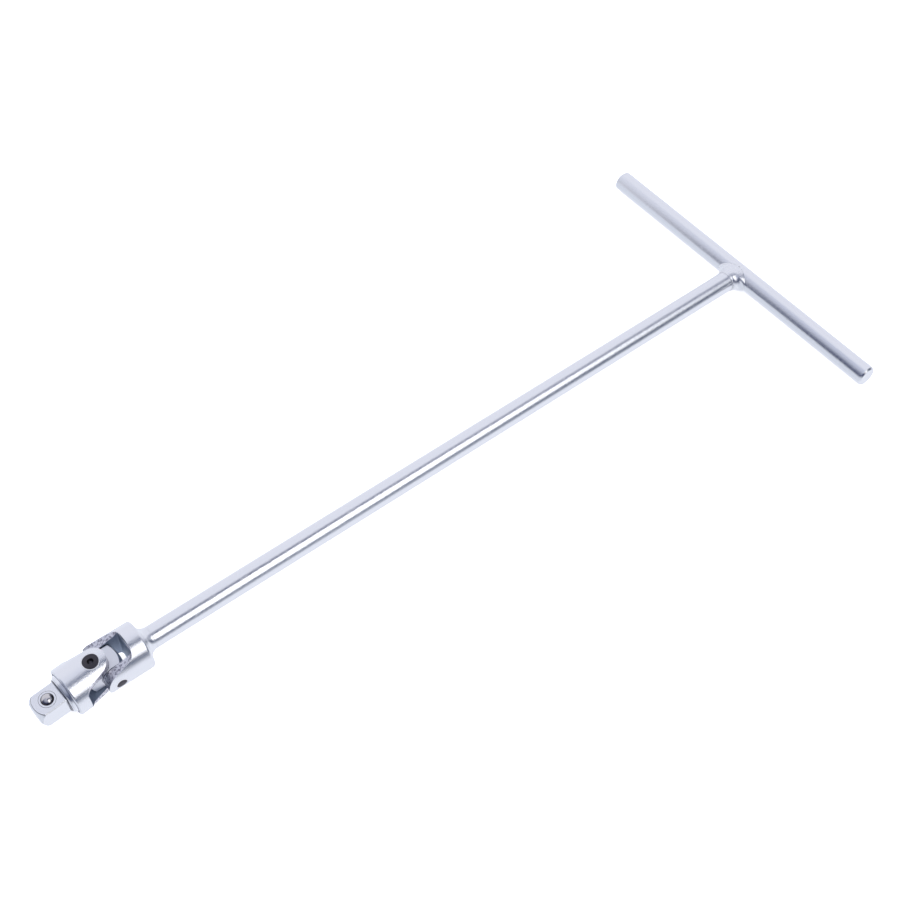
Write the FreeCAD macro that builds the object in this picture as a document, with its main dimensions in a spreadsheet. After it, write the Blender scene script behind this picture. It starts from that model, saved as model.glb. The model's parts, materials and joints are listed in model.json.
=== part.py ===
import FreeCAD, Part
import math
import os

import Sketcher

# T-handle socket driver with a universal joint, lying on a flat surface.
#
# Row frame, millimetres: Z is up and z = 0 is the surface that the tool lies on. +X runs from the
# square drive to the crossbar, and the crossbar lies along Y. The origin is under the middle of the
# tool's box.
#
# Each piece is drawn in a simple frame of its own and then placed. The two forked heads share one
# "yoke frame": the pin's axis is Y, the ears point along -X and the head's own axis is X.

SIZES = [
    ("bar_diameter", 12.0, "round bar of the shank and the crossbar"),
    ("crossbar_length", 202.0, "end to end"),
    ("crossbar_offset", 0.5, "middle of the crossbar beyond the shank's axis, towards the far end"),
    ("crossbar_chamfer", 0.9, "at 45 degrees, both ends"),
    ("shank_reach", 420.2, "cross pin's axis to crossbar's axis"),
    ("head_diameter", 25.8, "turned diameter of both forked heads"),
    ("slot_width", 13.0, "gap between the two ears, both heads"),
    ("slot_corner", 0.8, "radius in the slot's two inner corners"),
    ("pin_spacing", 7.55, "cross pin's axis to main pin's axis, along the block"),
    ("running_clearance", 0.05, "radial, pins in the centre block"),
    ("pin_recess", 0.12, "pin ends below the heads' turned surface"),
    ("cross_pin_diameter", 5.4, "pressed in the shank yoke"),
    ("main_pin_diameter", 8.0, "pressed in the drive yoke"),
    ("centre_drill_diameter", 3.4, "in the main pin's ends"),
    ("centre_drill_depth", 1.6, "to the point of the drill"),
    ("shank_ear_tip", 6.7, "tip radius of the shank yoke's ears"),
    ("shank_ear_slope", 0.268, "flank's rise for each mm towards the root"),
    ("shank_slot_depth", 10.2, "cross pin's axis to the slot's floor"),
    ("shank_ear_root", 4.4, "radius at the root of the flank"),
    ("shank_ear_spread", 10.8, "cross pin's axis to the end of the root radius"),
    ("drive_ear_tip", 7.5, "tip radius of the drive yoke's ears"),
    ("drive_ear_slope", 0.231, "flank's rise for each mm towards the root"),
    ("drive_slot_depth", 9.7, "main pin's axis to the slot's floor"),
    ("drive_ear_root", 3.8, "radius at the root of the flank"),
    ("drive_ear_spread", 9.9, "main pin's axis to the end of the root radius"),
    ("shank_head_back", 18.7, "cross pin's axis to the back face"),
    ("back_rounding", 1.6, "convex radius of the back edge"),
    ("neck_radius", 5.0, "concave radius from the back face to the bar"),
    ("drive_head_back", 16.3, "main pin's axis to the front shoulder"),
    ("shoulder_rounding", 0.9, "convex radius of the front shoulder"),
    ("collar_diameter", 20.8, "turned collar beside the square, at its thick end"),
    ("collar_tip_diameter", 18.0, "the same at the root of the square"),
    ("collar_fillet", 0.8, "concave radius between collar and square"),
    ("groove_depth", 0.8, "turned groove between shoulder and collar"),
    ("square_width", 12.7, "half-inch square drive, across the flats"),
    ("square_corner", 0.5, "flat on each long corner of the square, across each side"),
    ("square_end", 33.0, "main pin's axis to the end face"),
    ("square_start", 18.5, "main pin's axis to the root of the square"),
    ("square_nose", 5.2, "radius of the flat on the end face"),
    ("nose_sweep", 6.5, "radius of the turned nose"),
    ("ball_diameter", 7.0, "detent ball"),
    ("ball_rise", 1.9, "ball above the flat at rest"),
    ("ball_place", 25.2, "main pin's axis to the ball's axis"),
    ("ball_clearance", 0.05, "radial, ball in its bore and lip"),
    ("lip_height", 0.4, "staked lip that holds the ball in"),
    ("stake_radius", 4.2, "ring left by the staking tool"),
    ("stake_depth", 0.15, "depth of that ring"),
    ("spring_seat", 4.6, "head's axis to the bottom of the ball's bore"),
    ("spring_wire", 0.7, "detent spring"),
    ("spring_diameter", 5.2, "mean coil diameter"),
    ("spring_turns", 3.75, "turns of the coil"),
    ("block_width", 12.6, "centre block, square section"),
    ("block_overhang", 6.6, "pin's axis to the crown of the block's end, both ends"),
    ("block_crown", 14.0, "radius of the domed ends"),
    ("block_corner", 0.5, "flat on each long corner of the block"),
    ("weld_leg", 4.9, "leg of the fillet weld along the shank and the crossbar"),
    ("weld_cap", 0.55, "weld above the bar on the upper and lower sides"),
    ("weld_rest", 0.4, "share of the leg from the crossbar to the bead's lowest point"),
    ("head_roll", 5.0, "degrees, forked heads turned round the shank from square with the crossbar"),
    ("drive_swing", 4.0, "degrees, drive swung round the main pin as the tool lies"),
]

document = FreeCAD.newDocument("universal_joint_t_handle")
sheet = document.addObject("Spreadsheet::Sheet", "Sizes")
for row, (alias, size, meaning) in enumerate(SIZES, start=1):
    sheet.set(f"A{row}", alias)
    sheet.set(f"B{row}", str(size))
    sheet.set(f"C{row}", meaning)
    sheet.setAlias(f"B{row}", alias)
document.recompute()


class Size:
    """A length with the spreadsheet formula that it comes from."""

    def __init__(self, value, formula):
        self.value = value
        self.formula = formula

    def __add__(self, other):
        other = as_size(other)
        return Size(self.value + other.value, f"({self.formula} + {other.formula})")

    def __sub__(self, other):
        other = as_size(other)
        return Size(self.value - other.value, f"({self.formula} - {other.formula})")

    def __mul__(self, other):
        other = as_size(other)
        return Size(self.value * other.value, f"({self.formula} * {other.formula})")

    def __truediv__(self, other):
        other = as_size(other)
        return Size(self.value / other.value, f"({self.formula} / {other.formula})")

    def __neg__(self):
        return Size(-self.value, f"(0 - {self.formula})")

    def root(self):
        return Size(math.sqrt(self.value), f"sqrt({self.formula})")


def as_size(length):
    return length if isinstance(length, Size) else Size(float(length), str(float(length)))


def size(alias):
    return Size(float(sheet.get(alias)), f"Sizes.{alias}")


ORIGIN = as_size(0)
OUTSIDE = as_size(2)  # how far a cutting outline reaches past the metal
ROOT_POINT = (-1, 1)  # Sketcher's own name for a sketch's origin
HORIZONTAL_AXIS = -1
VERTICAL_AXIS = -2

bar_radius = size("bar_diameter") / 2
head_radius = size("head_diameter") / 2
half_slot = size("slot_width") / 2
half_square = size("square_width") / 2
half_block = size("block_width") / 2
ball_radius = size("ball_diameter") / 2
ball_height = half_square + size("ball_rise") - ball_radius
neck_end = size("shank_head_back") + size("neck_radius")


# ---- sketches and features -------------------------------------------------------------------


def new_body(label):
    body = document.addObject("PartDesign::Body", label)
    body.Label = label
    return body


def new_sketch(body, name, plane, offset=None):
    """A sketch on one of the body's own origin planes, moved along that plane's normal by offset."""
    sketch = body.newObject("Sketcher::SketchObject", name)
    support = [feature for feature in body.Origin.OriginFeatures if feature.Role == plane][0]
    sketch.AttachmentSupport = [(support, "")]
    sketch.MapMode = "FlatFace"
    if offset is not None:
        sketch.setExpression("AttachmentOffset.Base.z", offset.formula)
    return sketch


def pin_down(sketch, geometry, point, place):
    """Fix one sketch point at a place (x, y) given as two Sizes."""
    axes = (("DistanceX", VERTICAL_AXIS, place[0]), ("DistanceY", HORIZONTAL_AXIS, place[1]))
    for kind, axis, length in axes:
        if length is ORIGIN:
            sketch.addConstraint(Sketcher.Constraint("PointOnObject", geometry, point, axis))
        else:
            number = sketch.addConstraint(
                Sketcher.Constraint(kind, *ROOT_POINT, geometry, point, length.value)
            )
            sketch.setExpression(f"Constraints[{number}]", length.formula)


def arc_between(start, end, radius, turns_left):
    """The shorter arc from start to end; turning left means anticlockwise travel."""
    chord = end - start
    middle = (start + end) * 0.5
    leftward = FreeCAD.Vector(-chord.y, chord.x, 0).normalize()
    reach = math.sqrt(radius**2 - (chord.Length / 2) ** 2)
    centre = middle + leftward * (reach if turns_left else -reach)
    first, last = (start, end) if turns_left else (end, start)
    angles = [math.atan2(point.y - centre.y, point.x - centre.x) for point in (first, last)]
    if angles[1] < angles[0]:
        angles[1] += 2 * math.pi
    return Part.ArcOfCircle(Part.Circle(centre, FreeCAD.Vector(0, 0, 1), radius), *angles)


def add_outline(sketch, corners, bends=None):
    """Draw a closed outline of straight sides, and arcs where bends gives a side's (radius, way)."""
    bends = bends or {}
    places = [FreeCAD.Vector(x.value, y.value, 0) for x, y in corners]
    sides = []
    for number, start in enumerate(places):
        end = places[(number + 1) % len(places)]
        if number in bends:
            radius, way = bends[number]
            index = sketch.addGeometry(arc_between(start, end, radius.value, way == "left"), False)
            from_point, to_point = (1, 2) if way == "left" else (2, 1)
            constraint = sketch.addConstraint(Sketcher.Constraint("Radius", index, radius.value))
            sketch.setExpression(f"Constraints[{constraint}]", radius.formula)
        else:
            index = sketch.addGeometry(Part.LineSegment(start, end), False)
            from_point, to_point = 1, 2
        sides.append((index, from_point, to_point))
    for number, (index, from_point, to_point) in enumerate(sides):
        after, after_start, _ = sides[(number + 1) % len(sides)]
        sketch.addConstraint(Sketcher.Constraint("Coincident", index, to_point, after, after_start))
        pin_down(sketch, index, from_point, corners[number])


def add_circle(sketch, x, y, radius):
    circle = Part.Circle(FreeCAD.Vector(x.value, y.value, 0), FreeCAD.Vector(0, 0, 1), radius.value)
    index = sketch.addGeometry(circle, False)
    pin_down(sketch, index, 3, (x, y))
    constraint = sketch.addConstraint(Sketcher.Constraint("Radius", index, radius.value))
    sketch.setExpression(f"Constraints[{constraint}]", radius.formula)


def pad_section(body, sketch, length, symmetric=False):
    pad = body.newObject("PartDesign::Pad", "bar")
    pad.Profile = sketch
    if symmetric:
        pad.SideType = "Symmetric"
    pad.setExpression("Length", length.formula)
    document.recompute()
    return pad


def turn(body, sketch, name):
    """Solid of revolution round the sketch's horizontal axis."""
    feature = body.newObject("PartDesign::Revolution", name)
    feature.Profile = sketch
    feature.ReferenceAxis = (sketch, ["H_Axis"])
    feature.Angle = 360
    document.recompute()


def cut_away(body, kind, sketch, name, **settings):
    """Add a feature that removes metal, and make sure that it does."""
    before = body.Shape.Volume
    feature = body.newObject(kind, name)
    feature.Profile = sketch
    for prop, setting in settings.items():
        setattr(feature, prop, setting)
    document.recompute()
    if not body.Shape.Volume < before - 1e-3:
        raise RuntimeError(f"{body.Label}: {name} removed nothing")


def cut_through(body, sketch, name):
    """Cut right through, both ways from the sketch's plane."""
    cut_away(body, "PartDesign::Pocket", sketch, name, Type="ThroughAll", SideType="Symmetric")


def cut_round(body, sketch, name, axis="H_Axis"):
    """Turned cut round one of the sketch's own axes."""
    cut_away(
        body, "PartDesign::Groove", sketch, name, ReferenceAxis=(sketch, [axis]), Angle=360
    )


def chamfer_edges(body, name, edges, width):
    base = body.Tip
    chamfer = body.newObject("PartDesign::Chamfer", name)
    chamfer.Base = (base, edges)
    chamfer.setExpression("Size", width.formula)
    document.recompute()


def rectangle(left, right, half_height):
    return [(left, -half_height), (right, -half_height), (right, half_height), (left, half_height)]


def polygon_with_corners(half, corner):
    """Square outline with each corner cut off by a flat that takes corner from both sides."""
    short = half - corner
    return [
        (half, -short),
        (half, short),
        (short, half),
        (-short, half),
        (-half, short),
        (-half, -short),
        (-short, -half),
        (short, -half),
    ]


# ---- forked heads ----------------------------------------------------------------------------


def cut_fork(body, tip, slope, slot_depth, root, spread, pin_radius, far_end):
    """Slot, tapered round-tipped ears and pin bore, in the yoke frame."""
    corner = size("slot_corner")
    mouth = -tip - OUTSIDE
    slot = new_sketch(body, "slot", "XY_Plane")
    add_outline(
        slot,
        [
            (mouth, -half_slot),
            (slot_depth - corner, -half_slot),
            (slot_depth, corner - half_slot),
            (slot_depth, half_slot - corner),
            (slot_depth - corner, half_slot),
            (mouth, half_slot),
        ],
        {1: (corner, "left"), 3: (corner, "left")},
    )
    cut_through(body, slot, "cut_slot")

    # The flank is a straight taper that touches the tip's circle and ends in a root radius that
    # turns outwards.
    steepness = (slope * slope + 1).root()
    lean_sine = slope / steepness
    lean_cosine = as_size(1) / steepness
    touch = (-(tip * lean_sine), tip * lean_cosine)
    root_x = spread - root + root * lean_sine
    root_y = tip * steepness + slope * root_x
    rim_y = root_y + root * lean_cosine
    upper = [touch, (root_x, root_y), (spread, rim_y), (spread, head_radius + OUTSIDE)]
    upper.append((far_end + OUTSIDE, head_radius + OUTSIDE))
    lower = [(x, -y) for x, y in reversed(upper)]
    ears = new_sketch(body, "ears", "XZ_Plane")
    add_outline(
        ears,
        lower + upper,
        {2: (root, "left"), 4: (tip, "right"), 6: (root, "left")},
    )
    add_outline(
        ears, rectangle(mouth, far_end + OUTSIDE * 2, head_radius + OUTSIDE * 2)
    )
    cut_through(body, ears, "trim_ears")

    bore = new_sketch(body, "pin_bore", "XZ_Plane")
    add_circle(bore, ORIGIN, ORIGIN, pin_radius)
    cut_through(body, bore, "bore_for_pin")


def make_shank_yoke():
    body = new_body("shank_yoke")
    tip = size("shank_ear_tip")
    back = size("shank_head_back")
    rounding = size("back_rounding")
    neck = size("neck_radius")
    turned = new_sketch(body, "turned_profile", "XZ_Plane")
    add_outline(
        turned,
        [
            (-tip, ORIGIN),
            (-tip, head_radius),
            (back - rounding, head_radius),
            (back, head_radius - rounding),
            (back, bar_radius + neck),
            (neck_end, bar_radius),
            (neck_end, ORIGIN),
        ],
        {2: (rounding, "right"), 4: (neck, "left")},
    )
    turn(body, turned, "turn_head")
    cut_fork(
        body,
        tip,
        size("shank_ear_slope"),
        size("shank_slot_depth"),
        size("shank_ear_root"),
        size("shank_ear_spread"),
        size("cross_pin_diameter") / 2,
        neck_end,
    )
    return body


def make_drive_yoke():
    body = new_body("drive_yoke")
    tip = size("drive_ear_tip")
    back = size("drive_head_back")
    rounding = size("shoulder_rounding")
    collar = size("collar_diameter") / 2
    tip_radius = size("collar_tip_diameter") / 2
    fillet = size("collar_fillet")
    groove = size("groove_depth")
    start = size("square_start")
    turned = new_sketch(body, "turned_profile", "XZ_Plane")
    add_outline(
        turned,
        [
            (-tip, ORIGIN),
            (-tip, head_radius),
            (back - rounding, head_radius),
            (back, head_radius - rounding),
            (back, collar + groove),
            (back - groove, collar + groove / 2),
            (back, collar),
            (start - fillet, tip_radius + groove),
            (start, tip_radius),
            (start, ORIGIN),
        ],
        {2: (rounding, "right"), 7: (fillet, "left")},
    )
    turn(body, turned, "turn_head")

    square = new_sketch(body, "square_section", "YZ_Plane", start)
    add_outline(square, polygon_with_corners(half_square, size("square_corner")))
    pad_section(body, square, size("square_end") - start)

    # The nose is turned: an arc from the end face's flat back to beyond the square's corners.
    end = size("square_end")
    nose = size("square_nose")
    sweep = size("nose_sweep")
    corner_reach = half_square * 1.5
    drop = corner_reach - nose
    nose_back = end - (sweep * sweep - (sweep - drop) * (sweep - drop)).root()
    turned_nose = new_sketch(body, "nose_profile", "XZ_Plane")
    add_outline(
        turned_nose,
        [
            (end, nose),
            (nose_back, corner_reach),
            (end + OUTSIDE, corner_reach),
            (end + OUTSIDE, nose),
        ],
        {0: (sweep, "left")},
    )
    cut_round(body, turned_nose, "turn_nose")

    cut_fork(
        body,
        tip,
        size("drive_ear_slope"),
        size("drive_slot_depth"),
        size("drive_ear_root"),
        size("drive_ear_spread"),
        size("main_pin_diameter") / 2,
        end,
    )
    cut_ball_bore(body)
    return body


def cut_ball_bore(body):
    """Blind bore for spring and ball in the +Y flat, its staked lip and the staking ring round it."""
    clearance = size("ball_clearance")
    lip = size("lip_height")
    bore = ball_radius + clearance
    mouth_drop = half_square - ball_height
    lip_drop = mouth_drop - lip
    mouth = (ball_radius * ball_radius - mouth_drop * mouth_drop).root() + clearance
    under_lip = (ball_radius * ball_radius - lip_drop * lip_drop).root() + clearance
    stake = size("stake_radius")
    depth = size("stake_depth")
    # A sketch on the XY plane turned round its vertical axis: x is the radius from the ball's axis.
    outlines = {
        "ball_bore": [
            (ORIGIN, -size("spring_seat")),
            (bore, -size("spring_seat")),
            (bore, half_square - lip),
            (under_lip, half_square - lip),
            (mouth, half_square),
            (mouth, half_square + OUTSIDE),
            (ORIGIN, half_square + OUTSIDE),
        ],
        "staking_ring": [
            (stake - depth, half_square + depth),
            (stake, half_square - depth),
            (stake + depth, half_square + depth),
        ],
    }
    for name, corners in outlines.items():
        sketch = new_sketch(body, name, "XY_Plane")
        sketch.setExpression("AttachmentOffset.Base.x", size("ball_place").formula)
        add_outline(sketch, corners)
        cut_round(body, sketch, f"cut_{name}", "V_Axis")


# ---- centre block and pins -------------------------------------------------------------------


def make_centre_block():
    """Square block, domed at both ends, with the cross pin's axis at x = 0."""
    body = new_body("centre_block")
    spacing = size("pin_spacing")
    overhang = size("block_overhang")
    crown = size("block_crown")
    section = new_sketch(body, "section", "YZ_Plane", -(spacing + overhang))
    add_outline(section, polygon_with_corners(half_block, size("block_corner")))
    pad_section(body, section, spacing + overhang * 2)

    reach = half_block * 1.5
    sagitta = crown - (crown * crown - reach * reach).root()
    right = overhang
    left = -(spacing + overhang)
    ends = {
        "shank_end": (right, OUTSIDE, right - sagitta, "right"),
        "drive_end": (left, -OUTSIDE, left + sagitta, "left"),
    }
    for name, (tip, outwards, edge, way) in ends.items():
        dome = new_sketch(body, name, "XZ_Plane")
        corners = [(tip, ORIGIN), (tip + outwards, ORIGIN), (tip + outwards, reach), (edge, reach)]
        add_outline(dome, corners, {3: (crown, way)})
        cut_round(body, dome, f"dome_{name}")

    clearance = size("running_clearance")
    cross_bore = new_sketch(body, "cross_bore", "XZ_Plane")
    add_circle(cross_bore, ORIGIN, ORIGIN, size("cross_pin_diameter") / 2 + clearance)
    cut_through(body, cross_bore, "bore_for_cross_pin")
    main_bore = new_sketch(body, "main_bore", "XY_Plane")
    add_circle(main_bore, -spacing, ORIGIN, size("main_pin_diameter") / 2 + clearance)
    cut_through(body, main_bore, "bore_for_main_pin")
    return body


def primitive(kind, name, **lengths):
    """A Part primitive whose properties are bound to the sheet."""
    piece = document.addObject(kind, name)
    for prop, length in lengths.items():
        piece.setExpression(prop, as_size(length).formula)
    return piece


def along(axis):
    """Rotation that carries a primitive's own Z onto the given axis."""
    return FreeCAD.Rotation(FreeCAD.Vector(0, 0, 1), FreeCAD.Vector(*axis))


def make_pin(label, diameter, centre_drilled):
    """Pin on the Y axis, its ends ground to the head's turned surface and set just below it."""
    length = head_radius * 2
    rod = primitive("Part::Cylinder", f"{label}_rod", Radius=diameter / 2, Height=length)
    rod.Placement = FreeCAD.Placement(FreeCAD.Vector(0, -head_radius.value, 0), along((0, 1, 0)))
    ground = primitive(
        "Part::Cylinder", f"{label}_ground", Radius=head_radius - size("pin_recess"), Height=length
    )
    ground.Placement = FreeCAD.Placement(FreeCAD.Vector(-head_radius.value, 0, 0), along((1, 0, 0)))
    pin = document.addObject("Part::MultiCommon", f"{label}_blank" if centre_drilled else label)
    pin.Shapes = [rod, ground]
    if centre_drilled:
        drills = []
        for side in (1, -1):
            depth = size("centre_drill_depth") + size("pin_recess")
            drill = primitive(
                "Part::Cone",
                f"{label}_drill_{'upper' if side > 0 else 'lower'}",
                Radius1=size("centre_drill_diameter") / 2,
                Radius2=size("centre_drill_diameter") / 4,
                Height=depth,
            )
            drill.Placement = FreeCAD.Placement(
                FreeCAD.Vector(0, side * head_radius.value, 0), along((0, -side, 0))
            )
            drills.append(drill)
        tools = document.addObject("Part::MultiFuse", f"{label}_drills")
        tools.Shapes = drills
        drilled = document.addObject("Part::Cut", label)
        drilled.Base = pin
        drilled.Tool = tools
        pin = drilled
    pin.Label = label
    document.recompute()
    return pin


# ---- detent ----------------------------------------------------------------------------------


def make_detent():
    """Ball and spring on the Y axis of the drive yoke, drawn where the yoke frame has them."""
    ball = primitive("Part::Sphere", "detent_ball", Radius=ball_radius)
    ball.Label = "detent_ball"

    wire = size("spring_wire") / 2
    coil = size("spring_diameter") / 2
    seat = -size("spring_seat")
    touch = ball_height - ((ball_radius + wire) * (ball_radius + wire) - coil * coil).root()
    height = touch - seat - wire - size("ball_clearance")
    turns = size("spring_turns").value
    helix = Part.makeHelix(height.value / turns, height.value, coil.value)
    lead = FreeCAD.Vector(0, 2 * math.pi * turns * coil.value, height.value)
    ring = Part.Circle(FreeCAD.Vector(coil.value, 0, 0), lead, wire.value)
    section = Part.Wire(ring.toShape())
    spring = document.addObject("Part::Feature", "detent_spring")
    spring.Label = "detent_spring"
    spring.Shape = Part.Wire(helix).makePipeShell([section], True, True)
    return ball, spring, (seat + wire).value


# ---- handle ----------------------------------------------------------------------------------


def make_crossbar():
    """Round bar along Y, centred on the origin."""
    body = new_body("crossbar")
    section = new_sketch(body, "section", "XZ_Plane")
    add_circle(section, ORIGIN, ORIGIN, bar_radius)
    pad_section(body, section, size("crossbar_length"), symmetric=True)
    rims = [
        f"Edge{number}"
        for number, edge in enumerate(body.Shape.Edges, start=1)
        if isinstance(edge.Curve, Part.Circle)
    ]
    chamfer_edges(body, "end_chamfers", rims, size("crossbar_chamfer"))
    return body


def make_shank():
    """Bar along X with its far end coped to sit on the crossbar; the crossbar's axis is at x = 0."""
    body = new_body("shank")
    length = size("shank_reach") - neck_end
    section = new_sketch(body, "section", "YZ_Plane", -length)
    add_circle(section, ORIGIN, ORIGIN, bar_radius)
    pad_section(body, section, length)
    cope = new_sketch(body, "cope", "XZ_Plane")
    add_circle(cope, ORIGIN, ORIGIN, bar_radius)
    cut_through(body, cope, "cut_cope")
    return body


def make_handle_weld():
    """Fillet weld: a loft of ellipses that flares from the shank to the crossbar, less both bars."""
    leg = size("weld_leg")
    cap = size("weld_cap")
    # Each step is three shares: of the leg from the weld's toe, of the leg spread sideways and of
    # the cap.
    steps = [
        (0.0, 0.02, 0.3),
        (0.35, 0.06, 0.8),
        (0.65, 0.24, 1.0),
        (0.87, 0.5, 1.0),
        (1.0, 0.86, 1.0),
        (1.35, 1.1, 0.9),
        (1.8, 1.2, 0.55),
        (2.05, 1.2, 0.1),
    ]
    sections = []
    for number, (travel, spread, proud) in enumerate(steps):
        section = primitive(
            "Part::Ellipse",
            f"weld_section_{number}",
            MajorRadius=bar_radius + leg * spread + cap * 0.3,
            MinorRadius=bar_radius + cap * proud,
        )
        place = -(bar_radius.value + leg.value * (1 - travel))
        section.Placement = FreeCAD.Placement(
            FreeCAD.Vector(place, 0, 0), FreeCAD.Rotation(FreeCAD.Vector(1, 1, 1), 120)
        )
        sections.append(section)
    flare = document.addObject("Part::Loft", "weld_flare")
    flare.Sections = sections
    flare.Solid = True
    flare.Ruled = False
    document.recompute()
    reach = bar_radius * 8
    rods = []
    for name, axis in (("along_shank", (-1, 0, 0)), ("along_crossbar", (0, 1, 0))):
        rod = primitive("Part::Cylinder", name, Radius=bar_radius, Height=reach)
        rod.Placement = FreeCAD.Placement(FreeCAD.Vector(0, 0, 0), along(axis))
        rods.append(rod)
    rods[1].Placement.Base.y = -reach.value / 2
    bars = document.addObject("Part::MultiFuse", "weld_bars")
    bars.Shapes = rods
    weld = document.addObject("Part::Cut", "handle_weld")
    weld.Label = "handle_weld"
    weld.Base = flare
    weld.Tool = bars
    document.recompute()
    return weld


# ---- assembly --------------------------------------------------------------------------------


def shift(x=0.0, y=0.0, z=0.0):
    return FreeCAD.Placement(FreeCAD.Vector(x, y, z), FreeCAD.Rotation())


def spin(axis, degrees):
    return FreeCAD.Placement(
        FreeCAD.Vector(), FreeCAD.Rotation(FreeCAD.Vector(*axis), degrees)
    )


def resting_pitch():
    """Slope of the handle in degrees when the weld and the shank yoke's back edge lie on the surface."""
    yoke_contact = (size("shank_head_back") - size("back_rounding")).value
    weld_contact = (bar_radius + size("weld_leg") * size("weld_rest")).value
    reach = size("shank_reach").value - yoke_contact - weld_contact
    drop = (head_radius - bar_radius - size("weld_cap")).value
    return math.degrees(math.atan(drop / reach))


crossbar = make_crossbar()
shank = make_shank()
handle_weld = make_handle_weld()
shank_yoke = make_shank_yoke()
centre_block = make_centre_block()
drive_yoke = make_drive_yoke()
cross_pin = make_pin("cross_pin", size("cross_pin_diameter"), centre_drilled=False)
main_pin = make_pin("main_pin", size("main_pin_diameter"), centre_drilled=True)
detent_ball, detent_spring, spring_foot = make_detent()
pieces = [
    crossbar,
    handle_weld,
    shank,
    shank_yoke,
    cross_pin,
    centre_block,
    main_pin,
    drive_yoke,
    detent_ball,
    detent_spring,
]

pitch = resting_pitch()
tilt = spin((0, 1, 0), pitch)
handle = tilt
joint = tilt * shift(x=-size("shank_reach").value)
shank_head = joint * spin((1, 0, 0), size("head_roll").value)
block = shank_head * spin((0, 1, 0), -pitch)
drive = block * shift(x=-size("pin_spacing").value) * spin((0, 0, 1), size("drive_swing").value)
drive_head = drive * spin((0, 1, 1), 180)
ball_seat = drive_head * shift(size("ball_place").value, ball_height.value)
spring_seat = drive_head * shift(size("ball_place").value, spring_foot) * spin((1, 0, 0), -90)
places = {
    crossbar: handle * shift(y=size("crossbar_offset").value),
    handle_weld: handle,
    shank: handle,
    shank_yoke: shank_head,
    cross_pin: shank_head,
    centre_block: block,
    main_pin: drive_head,
    drive_yoke: drive_head,
    detent_ball: ball_seat,
    detent_spring: spring_seat,
}


def place_pieces(offset):
    for piece, place in places.items():
        piece.Placement = offset * place
    document.recompute()


place_pieces(shift())
box = FreeCAD.BoundBox()
for piece in pieces:
    box.add(piece.Shape.optimalBoundingBox(False, False))
place_pieces(shift(-box.Center.x, -box.Center.y, -box.ZMin))

# ---- checks and files ------------------------------------------------------------------------

for item in document.Objects:
    if "Invalid" in item.State or "Error" in item.State:
        raise RuntimeError(f"{item.Label} failed to recompute: {item.State}")

os.makedirs("parts", exist_ok=True)
for piece in pieces:
    if piece.Shape.isNull() or not piece.Shape.isValid() or len(piece.Shape.Solids) != 1:
        raise RuntimeError(f"{piece.Label} is not one valid solid")
    piece.Shape.exportStep(f"parts/{piece.Label}.step")
    size_box = piece.Shape.optimalBoundingBox(False, False)
    print(
        f"{piece.Label}: volume {piece.Shape.Volume:.1f} mm3, "
        f"x {size_box.XMin:.2f} to {size_box.XMax:.2f}, "
        f"y {size_box.YMin:.2f} to {size_box.YMax:.2f}, "
        f"z {size_box.ZMin:.3f} to {size_box.ZMax:.2f}"
    )
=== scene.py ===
import json
import math

import bpy
from mathutils import Matrix, Vector


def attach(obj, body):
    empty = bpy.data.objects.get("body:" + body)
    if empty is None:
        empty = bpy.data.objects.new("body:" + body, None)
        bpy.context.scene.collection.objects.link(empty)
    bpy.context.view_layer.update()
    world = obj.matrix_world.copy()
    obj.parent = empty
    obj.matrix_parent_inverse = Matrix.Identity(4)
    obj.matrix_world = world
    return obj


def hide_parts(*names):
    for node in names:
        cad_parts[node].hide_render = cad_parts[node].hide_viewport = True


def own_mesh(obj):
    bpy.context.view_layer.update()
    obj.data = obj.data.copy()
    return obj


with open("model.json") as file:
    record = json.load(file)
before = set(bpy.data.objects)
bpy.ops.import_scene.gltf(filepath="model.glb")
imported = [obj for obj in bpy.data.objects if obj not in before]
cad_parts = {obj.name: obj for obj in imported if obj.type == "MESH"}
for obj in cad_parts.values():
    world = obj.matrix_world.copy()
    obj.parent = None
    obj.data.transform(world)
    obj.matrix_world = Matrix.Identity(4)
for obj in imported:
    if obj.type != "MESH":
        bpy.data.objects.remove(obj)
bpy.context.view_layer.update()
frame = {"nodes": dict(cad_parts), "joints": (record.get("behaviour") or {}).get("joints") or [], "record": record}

nodes = frame["nodes"]
joints = {joint["name"]: joint for joint in frame["joints"]}
mounts = {mount["name"]: mount for mount in frame["record"]["mounts"]}
scene = bpy.context.scene

# ---- places, all worked out from the frame -------------------------------------------------------

MM = 0.001
cross_pin_place = Vector(joints["cross_pin_hinge"]["pos_m"])
cross_pin_axis = Vector(joints["cross_pin_hinge"]["axis"]).normalized()
main_pin_place = Vector(joints["main_pin_hinge"]["pos_m"])
main_pin_axis = Vector(joints["main_pin_hinge"]["axis"]).normalized()
drive_axis = Vector(mounts["drive_end"]["axis"]).normalized()
crossbar_ends = [Vector(mounts[name]["pos_m"]) for name in ("crossbar_near_end", "crossbar_far_end")]
# The shank meets the crossbar level with the cross pin, just short of the crossbar's middle.
weld_centre = (crossbar_ends[0] + crossbar_ends[1]) / 2
weld_centre.y = cross_pin_place.y
handle_axis = (weld_centre - cross_pin_place).normalized()


def axes(origin, x, z):
    """Placement with the given origin whose own X is x and whose own Z is as near to z as can be."""
    x = x.normalized()
    y = z.cross(x).normalized()
    z = x.cross(y)
    turn = Matrix((x, y, z)).transposed().to_4x4()
    return Matrix.Translation(origin) @ turn


# X runs along the handle, from the joint to the weld, or along the drive, from the joint to its end.
handle_frame = axes(weld_centre, handle_axis, Vector((0, 0, 1)))
yoke_frame = axes(cross_pin_place, handle_axis, handle_axis.cross(cross_pin_axis))
drive_frame = axes(main_pin_place, drive_axis, drive_axis.cross(main_pin_axis))


# ---- shader helpers ------------------------------------------------------------------------------


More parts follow.
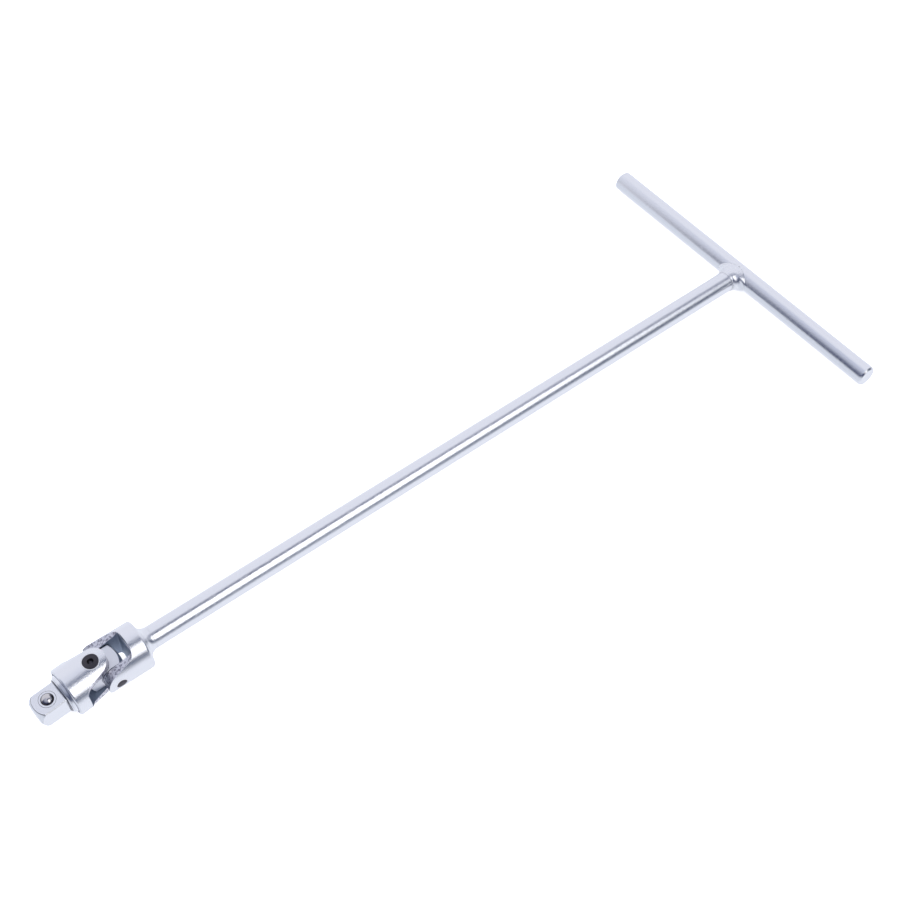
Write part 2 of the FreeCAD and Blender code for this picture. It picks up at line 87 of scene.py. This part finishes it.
class Shader:
    """A node tree with short calls for the nodes that the materials here use."""

    def __init__(self, tree):
        self.tree = tree
        self.tree.nodes.clear()

    def add(self, kind, **settings):
        node = self.tree.nodes.new(kind)
        for name, value in settings.items():
            setattr(node, name, value)
        return node

    def link(self, value, socket):
        if isinstance(value, bpy.types.NodeSocket):
            self.tree.links.new(value, socket)
        elif value is not None:
            socket.default_value = value

    def math(self, operation, first, second=None, third=None):
        node = self.add("ShaderNodeMath", operation=operation)
        for value, socket in zip((first, second, third), node.inputs):
            self.link(value, socket)
        return node.outputs[0]

    def step(self, value, low, high):
        """0 below low, 1 above high and smooth between them; falls instead where low is above high."""
        falling = low > high
        node = self.add("ShaderNodeMapRange", interpolation_type="SMOOTHSTEP")
        self.link(value, node.inputs["Value"])
        node.inputs["From Min"].default_value = min(low, high)
        node.inputs["From Max"].default_value = max(low, high)
        node.inputs["To Min"].default_value = 1.0 if falling else 0.0
        node.inputs["To Max"].default_value = 0.0 if falling else 1.0
        return node.outputs["Result"]

    def mix(self, share, first, second):
        node = self.add("ShaderNodeMix", data_type="RGBA")
        self.link(share, node.inputs["Factor"])
        self.link(first, node.inputs["A"])
        self.link(second, node.inputs["B"])
        return node.outputs["Result"]

    def dot(self, first, second):
        node = self.add("ShaderNodeVectorMath", operation="DOT_PRODUCT")
        self.link(first, node.inputs[0])
        self.link(second, node.inputs[1])
        return node.outputs["Value"]

    def noise(self, where, scale, detail=2.0, roughness=0.5):
        node = self.add("ShaderNodeTexNoise")
        self.link(where, node.inputs["Vector"])
        node.inputs["Scale"].default_value = scale
        node.inputs["Detail"].default_value = detail
        node.inputs["Roughness"].default_value = roughness
        return node.outputs["Fac"]


def opaque(red, green, blue):
    return (red, green, blue, 1.0)


# ---- studio --------------------------------------------------------------------------------------


def make_world():
    """White room seen in the chrome: an overhead softbox, narrow dark gaps round it and a dark wall."""
    world = bpy.data.worlds.new("studio")
    world.use_nodes = True
    scene.world = world
    s = Shader(world.node_tree)
    direction = s.add("ShaderNodeTexCoord").outputs["Generated"]
    split = s.add("ShaderNodeSeparateXYZ")
    s.link(direction, split.inputs[0])
    x, y, z = split.outputs
    # Degrees round the X axis: 0 overhead, 90 level on the near side, -90 level on the far side.
    lean = s.math("DEGREES", s.math("ARCTAN2", s.math("MULTIPLY", y, -1.0), z))

    # From a bar's upper edge to its lower one the chrome shows: room, gap, softbox, gap, pale ground.
    # The gaps are darkest to the left, where the yokes show them, and the softbox fades to the right.
    upper = s.math("MULTIPLY_ADD", s.step(x, 0.10, 0.20), 6.0, lean)
    gap = s.mix(s.step(x, 0.15, 0.35), opaque(0.02, 0.04, 0.11), opaque(0.26, 0.28, 0.38))
    level = s.mix(s.step(upper, -4.0, 14.0), opaque(0.77, 0.79, 0.89), gap)
    softbox = s.mix(s.step(x, 0.40, 0.56), opaque(1.7, 1.7, 1.75), opaque(0.50, 0.53, 0.62))
    level = s.mix(s.step(upper, 24.0, 32.0), level, softbox)
    slanted = s.math("MULTIPLY_ADD", x, 26.0, lean)
    gap = s.mix(s.step(x, 0.10, 0.16), opaque(0.02, 0.03, 0.09), opaque(0.26, 0.29, 0.37))
    gap = s.mix(s.step(x, 0.35, 0.55), gap, opaque(0.12, 0.14, 0.20))
    level = s.mix(s.step(slanted, 67.0, 76.0), level, gap)
    ground = s.mix(s.step(x, -0.25, -0.5), opaque(0.83, 0.86, 0.96), opaque(0.69, 0.73, 0.83))
    level = s.mix(s.step(lean, 84.0, 110.0), level, ground)
    far_side = s.math("MULTIPLY", s.step(z, 0.02, -0.12), s.step(y, -0.15, 0.1))
    level = s.mix(far_side, level, ground)
    # To the left the softbox gives way to a dark wall that lightens overhead.
    wall_side = s.math("MULTIPLY", s.step(y, 0.56, 0.36), s.step(x, 0.15, -0.2))
    wall_side = s.math("MULTIPLY", wall_side, s.step(z, -0.1, 0.1))
    wall = s.mix(s.step(z, 0.3, 1.0), opaque(0.045, 0.058, 0.125), opaque(0.53, 0.57, 0.71))
    level = s.mix(wall_side, level, wall)
    # Beyond the floor's edge the picture stays plain and pale.
    seen = s.add("ShaderNodeLightPath").outputs["Is Camera Ray"]
    level = s.mix(seen, level, opaque(0.98, 0.98, 0.98))
    background = s.add("ShaderNodeBackground")
    s.link(level, background.inputs["Color"])
    output = s.add("ShaderNodeOutputWorld")
    s.link(background.outputs[0], output.inputs[0])


def make_floor():
    """Plain white floor under the tool."""
    half = 6.0
    mesh = bpy.data.meshes.new("floor")
    corners = [(-half, -half, 0), (half, -half, 0), (half, half, 0), (-half, half, 0)]
    mesh.from_pydata(corners, [], [(0, 1, 2, 3)])
    floor = bpy.data.objects.new("floor", mesh)
    scene.collection.objects.link(floor)
    floor.visible_glossy = False
    material = bpy.data.materials.new("floor_white")
    material.use_nodes = True
    s = Shader(material.node_tree)
    # The paper glows a little, as it does when it is lit from behind, so shadows on it stay faint.
    shade = s.add("ShaderNodeBsdfPrincipled")
    shade.inputs["Base Color"].default_value = opaque(0.9, 0.9, 0.9)
    shade.inputs["Roughness"].default_value = 1.0
    shade.inputs["Specular IOR Level"].default_value = 0.0
    shade.inputs["Emission Color"].default_value = opaque(1.0, 1.0, 1.0)
    shade.inputs["Emission Strength"].default_value = 0.55
    output = s.add("ShaderNodeOutputMaterial")
    s.link(shade.outputs[0], output.inputs[0])
    mesh.materials.append(material)


def make_light(name, place, target, power, width):
    light = bpy.data.lights.new(name, "AREA")
    light.shape = "DISK"
    light.size = width
    light.energy = power
    lamp = bpy.data.objects.new(name, light)
    lamp.visible_glossy = False
    lamp.location = place
    lamp.rotation_mode = "QUATERNION"
    lamp.rotation_quaternion = (Vector(target) - Vector(place)).to_track_quat("-Z", "Y")
    scene.collection.objects.link(lamp)


def make_camera():
    """The view is set out in the handle's own frame: back from the weld, to the near left and above."""
    place = Vector((-498.95, -377.1, 621.5)) * MM
    right = Vector((0.7908, -0.612, -0.007))
    up = Vector((0.4899, 0.6261, 0.6066))
    back = right.cross(up)
    up = back.cross(right)
    turn = Matrix([v.normalized() for v in (right, up, back)]).transposed().to_4x4()
    data = bpy.data.cameras.new("camera")
    data.lens = 58.8
    data.sensor_width = 36.0
    data.shift_x = -0.00077
    data.shift_y = 0.00058
    data.clip_start = 0.01
    camera = bpy.data.objects.new("camera", data)
    camera.matrix_world = handle_frame @ Matrix.Translation(place) @ turn
    scene.collection.objects.link(camera)
    scene.camera = camera


# ---- materials -----------------------------------------------------------------------------------


CHROME = opaque(0.93, 0.935, 0.95)
WORN_CHROME = opaque(0.98, 0.97, 0.95)
BLOCK_CHROME = opaque(0.88, 0.885, 0.91)
# Painted shade for the slot between a head's ears.
SLOT_PAINTED_SHADE = opaque(0.38, 0.44, 0.54)
DARK_SPECKLE = opaque(0.34, 0.33, 0.38)
PALE_SPECKLE = opaque(0.90, 0.89, 0.93)
# Painted shade for the line along the nose's rim.
PAINTED_RIM_SHADE = opaque(0.08, 0.08, 0.13)
# Painted shade for closed corners.
PAINTED_CORNER_SHADE = opaque(0.09, 0.10, 0.15)
BLACK_OXIDE = opaque(0.08, 0.075, 0.085)
WORN_OXIDE = opaque(0.3, 0.29, 0.28)
SPRING_STEEL = opaque(0.4, 0.39, 0.38)
BALL_STEEL = opaque(0.72, 0.69, 0.68)
BALL_PAINTED_SHADE = opaque(0.10, 0.09, 0.10)

# Millimetres, alike in both forked heads.
SLOT_SIDE = 6.54  # from a head's middle to the sides of its slot
HEAD_SKIN = 12.8  # radius just under a head's turned outside
GROOVE_RIM = 11.1  # outer radius of the groove round the collar
SQUARE_SIDE = 6.35  # from the square's middle to its flats
SPECKLE = 1.1  # spacing of the flanks' speckles


def metal(
    name, colour, rough, rough_spread=0.06, grain=0.06, grain_size=0.4, stretch=(1, 1, 1), worn=None,
    edge=0.25, corner_shade=1.0,
):
    """Plated or bare metal: grain, patchy shine, eased and worn edges, and painted shade in the corners.

    grain and grain_size are the depth and the spacing of the grain and edge is the edges' radius,
    in millimetres. stretch draws the grain out along the axes below 1. worn is the edges' colour
    and the last argument is the share of painted shade in the corners.
    """
    material = bpy.data.materials.new(name)
    material.use_nodes = True
    s = Shader(material.node_tree)
    where = s.add("ShaderNodeTexCoord").outputs["Object"]
    drawn = s.add("ShaderNodeVectorMath", operation="MULTIPLY")
    s.link(where, drawn.inputs[0])
    drawn.inputs[1].default_value = stretch
    fine = s.noise(drawn.outputs[0], 1.0 / (grain_size * MM), 3.0, 0.6)
    broad = s.noise(where, 120.0, 2.0)

    eased = s.add("ShaderNodeBevel", samples=6)
    eased.inputs["Radius"].default_value = edge * MM
    flat = s.add("ShaderNodeNewGeometry").outputs["Normal"]
    at_edge = s.step(s.dot(eased.outputs[0], flat), 0.97, 0.8)
    # Painted shade: the colour darkens where ambient occlusion finds a closed corner.
    open_air = s.add("ShaderNodeAmbientOcclusion", samples=8)
    open_air.inputs["Distance"].default_value = 0.9 * MM
    in_corner = s.math("MULTIPLY", s.step(open_air.outputs["AO"], 0.85, 0.45), corner_shade)

    shine = s.add("ShaderNodeBsdfPrincipled")
    shine.inputs["Metallic"].default_value = 1.0
    patchy = s.math("MULTIPLY_ADD", broad, rough_spread, rough - rough_spread)
    patchy = s.math("MULTIPLY_ADD", fine, rough_spread, patchy)
    s.link(patchy, shine.inputs["Roughness"])
    wear = s.math("MULTIPLY", at_edge, s.step(broad, 0.35, 0.65))
    clean = s.mix(wear, colour, worn or colour)
    s.link(s.mix(in_corner, clean, PAINTED_CORNER_SHADE), shine.inputs["Base Color"])
    bump = s.add("ShaderNodeBump")
    bump.inputs["Strength"].default_value = 1.0
    bump.inputs["Distance"].default_value = grain * MM
    s.link(fine, bump.inputs["Height"])
    s.link(eased.outputs[0], bump.inputs["Normal"])
    s.link(bump.outputs[0], shine.inputs["Normal"])
    output = s.add("ShaderNodeOutputMaterial")
    s.link(shine.outputs[0], output.inputs[0])
    return material, s, shine


def into_frame(s, where, frame_matrix):
    """x, y and z of a point in another frame, in millimetres."""
    parts = []
    for column in range(3):
        axis = frame_matrix.col[column].to_3d()
        offset = axis.dot(frame_matrix.translation)
        parts.append(s.math("DIVIDE", s.math("SUBTRACT", s.dot(where, axis), offset), MM))
    return parts


def yoke_metal(name, frame_matrix, slot_end, ear_end, pin_radius, edge=0.35, nose_start=90.0, painted_groove_shades=()):
    """Chrome of a forked head: dull finish with painted slate shade in the slot, speckled flanks and a painted
    highlight ring round the pin.

    Lengths are in millimetres from the pin, along the head. nose_start is where a turned nose
    begins. The last argument lists painted shade lines in the collar's groove, each with its first
    and last place and its colour.
    """
    material, s, shine = metal(name, CHROME, 0.2, worn=WORN_CHROME, edge=edge)
    where = s.add("ShaderNodeTexCoord").outputs["Object"]
    x, y, z = into_frame(s, where, frame_matrix)
    across = s.math("ABSOLUTE", y)
    radius = s.math("SQRT", s.math("ADD", s.math("MULTIPLY", y, y), s.math("MULTIPLY", z, z)))
    from_pin = s.math("SQRT", s.math("ADD", s.math("MULTIPLY", x, x), s.math("MULTIPLY", z, z)))
    between_ears = s.step(across, SLOT_SIDE + 0.02, SLOT_SIDE - 0.02)
    in_slot = s.math("MULTIPLY", between_ears, s.step(x, slot_end + 0.2, slot_end + 0.1))
    on_ear = s.step(across, SLOT_SIDE - 0.02, SLOT_SIDE + 0.02)
    on_flank = s.math("MULTIPLY", on_ear, s.step(radius, HEAD_SKIN + 0.06, HEAD_SKIN))
    on_flank = s.math("MULTIPLY", on_flank, s.step(x, ear_end + 0.2, ear_end))
    ring_start, ring_end = pin_radius + 0.3, pin_radius + 0.5
    painted_highlight_ring = s.math("MULTIPLY", s.step(from_pin, ring_end, ring_start), s.step(across, 10.0, 10.5))
    on_flank = s.math("MULTIPLY", on_flank, s.step(from_pin, ring_start, ring_end))
    speckle = s.noise(where, 1.0 / (SPECKLE * MM), 5.0, 0.65)
    plated = shine.inputs["Base Color"].links[0].from_socket
    flank = s.mix(s.step(speckle, 0.38, 0.54), DARK_SPECKLE, PALE_SPECKLE)
    colour = s.mix(on_flank, plated, flank)
    # Painted highlight: a white ring round the pin.
    colour = s.mix(painted_highlight_ring, colour, opaque(1.0, 1.0, 1.0))
    # Painted shade: dark lines in the collar's groove and at the square's root.
    for start, end, shade in painted_groove_shades:
        in_groove_shade = s.math("MULTIPLY", s.step(x, start, start + 0.15), s.step(x, end + 0.15, end))
        in_groove_shade = s.math("MULTIPLY", in_groove_shade, s.step(radius, GROOVE_RIM + 0.4, GROOVE_RIM))
        colour = s.mix(in_groove_shade, colour, shade)
    # Painted shade: a dark line along the nose's rim against the ball's flat, on faces that look forwards.
    normal = s.add("ShaderNodeNewGeometry").outputs["Normal"]
    forwards = s.step(s.dot(normal, frame_matrix.col[0].to_3d()), 0.1, 0.2)
    near_flat = s.step(y, SQUARE_SIDE - 0.35, SQUARE_SIDE - 0.25)
    painted_rim_shade = s.math("MULTIPLY", near_flat, s.step(x, nose_start, nose_start + 0.5))
    painted_rim_shade = s.math("MULTIPLY", painted_rim_shade, forwards)
    colour = s.mix(painted_rim_shade, colour, PAINTED_RIM_SHADE)
    # Painted shade: the slot between the ears takes a dark slate colour, beside its duller finish.
    s.link(s.mix(in_slot, colour, SLOT_PAINTED_SHADE), shine.inputs["Base Color"])
    patchy = shine.inputs["Roughness"].links[0].from_socket
    dull = s.math("MAXIMUM", s.math("MULTIPLY", in_slot, 0.6), s.math("MULTIPLY", on_flank, 0.42))
    dull = s.math("MAXIMUM", dull, s.math("MULTIPLY", painted_highlight_ring, 0.5))
    s.link(s.math("MAXIMUM", patchy, dull), shine.inputs["Roughness"])
    return material


def ball_metal():
    """Polished steel ball, bright on its crown, with painted shade below it near the staked lip."""
    material, s, shine = metal("polished_steel", BALL_STEEL, 0.09, 0.03, grain=0.004)
    where = s.add("ShaderNodeTexCoord").outputs["Object"]
    _, height, _ = into_frame(s, where, ball_frame)
    steel = shine.inputs["Base Color"].links[0].from_socket
    # Painted shade: the ball darkens below its crown.
    s.link(s.mix(s.step(height, 2.75, 2.0), steel, BALL_PAINTED_SHADE), shine.inputs["Base Color"])
    return material


def make_spring(material):
    """Coil spring in the ball's bore. Lengths are in millimetres.

    coil and wire are radii, and seat is how far below the ball's centre the spring stands.
    """
    turns, height, coil, wire = 3.75, 6.11, 2.6, 0.35
    seat = -9.35
    steps, sides = 150, 12
    rise = height / (turns * math.tau)
    points = []
    for step in range(steps + 1):
        turned = turns * math.tau * step / steps
        outwards = Vector((math.cos(turned), 0, math.sin(turned)))
        along = Vector((-coil * math.sin(turned), rise, coil * math.cos(turned))).normalized()
        sideways = along.cross(outwards)
        middle = outwards * coil + Vector((0, seat + wire + rise * turned, 0))
        for side in range(sides):
            angle = math.tau * side / sides
            point = middle + (outwards * math.cos(angle) + sideways * math.sin(angle)) * wire
            points.append(ball_frame @ (point * MM))
    faces = [tuple(reversed(range(sides))), tuple(range(steps * sides, (steps + 1) * sides))]
    for step in range(steps):
        for side in range(sides):
            near = step * sides
            after = (side + 1) % sides
            faces.append((near + side, near + after, near + sides + after, near + sides + side))
    mesh = bpy.data.meshes.new("detent_spring_coil")
    mesh.from_pydata(points, [], faces)
    mesh.shade_smooth()
    mesh.materials.append(material)
    coil_spring = bpy.data.objects.new("detent_spring_coil", mesh)
    scene.collection.objects.link(coil_spring)
    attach(coil_spring, "drive")
    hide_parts("detent_spring")
    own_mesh(coil_spring)


make_world()
make_floor()
make_camera()
make_light("key", (0.3, -0.9, 1.6), (0, 0, 0), 30.0, 1.5)
make_light("fill", (-0.9, 0.6, 1.4), (0, 0, 0), 20.0, 1.5)

ball_corners = [Vector(corner) for corner in nodes["detent_ball"].bound_box]
ball_centre = sum(ball_corners, Vector()) / len(ball_corners)
ball_frame = axes(ball_centre, drive_axis, drive_axis.cross(main_pin_axis))

# The small figures at the ends of these three calls are their shares of painted shade in the corners.
drawn_x, *_ = metal("drawn_chrome_x", CHROME, 0.19, stretch=(0.25, 1, 1), worn=WORN_CHROME, corner_shade=0.1)
drawn_y, *_ = metal("drawn_chrome_y", CHROME, 0.19, stretch=(1, 0.25, 1), worn=WORN_CHROME, corner_shade=0.1)
bead, *_ = metal("weld_chrome", CHROME, 0.28, 0.12, 0.16, 1.4, worn=WORN_CHROME, corner_shade=0.15)
block_chrome, *_ = metal("block_chrome", BLOCK_CHROME, 0.42, worn=WORN_CHROME)
black, *_ = metal("black_oxide", BLACK_OXIDE, 0.4, grain=0.03, worn=WORN_OXIDE)
spring_wire, *_ = metal("spring_wire", SPRING_STEEL, 0.25, grain=0.01)
# Painted shade lines in the collar's groove and at the square's root: first place, last place, colour.
collar_painted_shades = [(16.0, 16.3, opaque(0.20, 0.22, 0.32)), (18.2, 18.45, opaque(0.03, 0.03, 0.05))]
looks = {
    "crossbar": drawn_y,
    "shank": drawn_x,
    "handle_weld": bead,
    "shank_yoke": yoke_metal(
        "shank_yoke_chrome", yoke_frame, slot_end=10.2, ear_end=10.8, pin_radius=2.7,
    ),
    "drive_yoke": yoke_metal(
        "drive_yoke_chrome", drive_frame, slot_end=9.7, ear_end=9.9, pin_radius=4.0, edge=0.12,
        nose_start=26.0, painted_groove_shades=collar_painted_shades,
    ),
    "centre_block": block_chrome,
    "cross_pin": black,
    "main_pin": black,
    "detent_ball": ball_metal(),
}
for node, material in looks.items():
    for slot in nodes[node].material_slots:
        slot.material = material
make_spring(spring_wire)

scene.view_settings.view_transform = "Standard"
